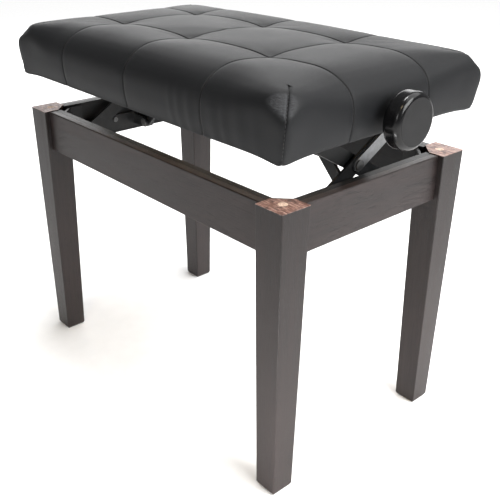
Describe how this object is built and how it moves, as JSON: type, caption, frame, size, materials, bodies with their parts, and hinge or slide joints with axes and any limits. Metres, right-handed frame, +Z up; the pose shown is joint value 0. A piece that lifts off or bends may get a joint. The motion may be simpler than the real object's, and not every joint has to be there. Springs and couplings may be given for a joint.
{
  "type": "piano bench",
  "caption": "Padded bench seat on a four-legged wooden frame; a side knob turns a screw that raises and lowers the seat on scissor arms.",
  "frame": {"origin": "on the floor, below the centre of the whole bench with its knob", "axes": "+X along the bench towards the knob, +Z up, -Y to the front"},
  "size_m": [0.594, 0.342, 0.525],
  "materials": {
    "frame_wood": "dark stained hardwood, satin lacquer with fine grain",
    "plug_wood": "raw end-grain plug",
    "liner_wood": "black stained wood, satin",
    "plywood": "raw plywood",
    "foam": "open-cell upholstery foam",
    "leatherette": "black leatherette, fine grain, satin",
    "knob_gloss": "gloss black moulding",
    "knob_matte": "matte dark grey",
    "black_steel": "black painted sheet steel, satin",
    "grey_steel": "bare drawn steel, dull",
    "zinc_steel": "zinc plated steel"
  },
  "bodies": {
    "frame": {"leg_front_left": "frame_wood", "leg_front_right": "frame_wood", "leg_back_left": "frame_wood", "leg_back_right": "frame_wood", "leg_plugs": "plug_wood", "apron_front": "frame_wood", "apron_back": "frame_wood", "apron_left": "frame_wood", "apron_right": "frame_wood", "liner_front": "liner_wood", "liner_back": "liner_wood", "liner_left": "liner_wood", "liner_right": "liner_wood", "corner_brackets": "black_steel", "corner_bolts": "zinc_steel", "corner_nuts": "zinc_steel", "base_bracket_left": "black_steel", "base_bracket_right": "black_steel", "base_screws": "zinc_steel", "base_pivot_pins": "zinc_steel", "strut_pins": "zinc_steel"},
    "outer_arm_left": {"outer_arm_left": "black_steel", "arm_doubler_left": "grey_steel", "centre_pin_left": "zinc_steel", "upper_slide_pin_left": "zinc_steel"},
    "outer_arm_right": {"outer_arm_right": "black_steel", "arm_doubler_right": "grey_steel", "centre_pin_right": "zinc_steel", "upper_slide_pin_right": "zinc_steel"},
    "inner_arm_left": {"inner_arm_left": "black_steel", "lower_slide_pin_left": "zinc_steel"},
    "inner_arm_right": {"inner_arm_right": "black_steel", "lower_slide_pin_right": "zinc_steel"},
    "strut_left": {"strut_left": "black_steel"},
    "strut_right": {"strut_right": "black_steel"},
    "nut_left": {"nut_left": "grey_steel", "nut_pin_left": "zinc_steel"},
    "nut_right": {"nut_right": "grey_steel", "nut_pin_right": "zinc_steel"},
    "seat": {"seat_bracket_left": "black_steel", "seat_bracket_right": "black_steel", "seat_screws": "zinc_steel", "seat_pivot_pins": "zinc_steel", "seat_rail_front": "plywood", "seat_rail_back": "plywood", "seat_rail_left": "plywood", "seat_rail_right": "plywood", "seat_board": "plywood", "screw_bearing": "plywood", "seat_foam": "foam", "side_padding": "foam", "seat_cover": "leatherette"},
    "lift_screw": {"lift_screw": "zinc_steel", "screw_collars": "grey_steel", "knob": "knob_gloss", "knob_cap": "knob_matte"}
  },
  "joints": [
    {"name": "lift", "type": "hinge", "parent": "frame", "child": "outer_arm_left", "pos_m": [-0.2505, -0.0866, 0.342], "axis": [1, 0, 0], "range_deg": [-14.34, 16.89]},
    {"name": "inner_arm_left_turn", "type": "hinge", "parent": "outer_arm_left", "child": "inner_arm_left", "pos_m": [-0.2435, 0, 0.392], "axis": [1, 0, 0], "range_deg": [-34.27, 29.17]},
    {"name": "seat_level", "type": "hinge", "parent": "inner_arm_left", "child": "seat", "pos_m": [-0.2435, -0.0866, 0.442], "axis": [1, 0, 0], "range_deg": [-14.84, 17.39]},
    {"name": "outer_arm_right_turn", "type": "hinge", "parent": "frame", "child": "outer_arm_right", "pos_m": [0.2185, -0.0866, 0.342], "axis": [1, 0, 0], "range_deg": [-14.84, 17.39]},
    {"name": "inner_arm_right_turn", "type": "hinge", "parent": "outer_arm_right", "child": "inner_arm_right", "pos_m": [0.2115, 0, 0.392], "axis": [1, 0, 0], "range_deg": [-34.27, 29.17]},
    {"name": "strut_left_turn", "type": "hinge", "parent": "frame", "child": "strut_left", "pos_m": [-0.232, 0.011, 0.342], "axis": [0, -1, 0], "range_deg": [-14.84, 17.39]},
    {"name": "strut_right_turn", "type": "hinge", "parent": "frame", "child": "strut_right", "pos_m": [0.2, 0.011, 0.342], "axis": [0, 1, 0], "range_deg": [-14.84, 17.39]},
    {"name": "nut_left_turn", "type": "hinge", "parent": "strut_left", "child": "nut_left", "pos_m": [-0.0588, 0.011, 0.442], "axis": [0, -1, 0], "range_deg": [-17.39, 14.84]},
    {"name": "nut_right_turn", "type": "hinge", "parent": "strut_right", "child": "nut_right", "pos_m": [0.02679, 0.011, 0.442], "axis": [0, 1, 0], "range_deg": [-17.39, 14.84]},
    {"name": "knob_turn", "type": "hinge", "parent": "seat", "child": "lift_screw", "pos_m": [0.297, 0, 0.46], "axis": [1, 0, 0], "range_deg": [-2740.33, 2329.53]}
  ],
  "couplings": [
    {"joint": "inner_arm_left_turn", "follows": "lift", "ratio": -2},
    {"joint": "seat_level", "follows": "lift", "ratio": 1},
    {"joint": "outer_arm_right_turn", "follows": "lift", "ratio": 1},
    {"joint": "inner_arm_right_turn", "follows": "lift", "ratio": -2},
    {"joint": "strut_left_turn", "follows": "lift", "ratio": 1},
    {"joint": "strut_right_turn", "follows": "lift", "ratio": 1},
    {"joint": "nut_left_turn", "follows": "lift", "ratio": -1},
    {"joint": "nut_right_turn", "follows": "lift", "ratio": -1},
    {"joint": "knob_turn", "follows": "lift", "ratio": -161.1}
  ]
}
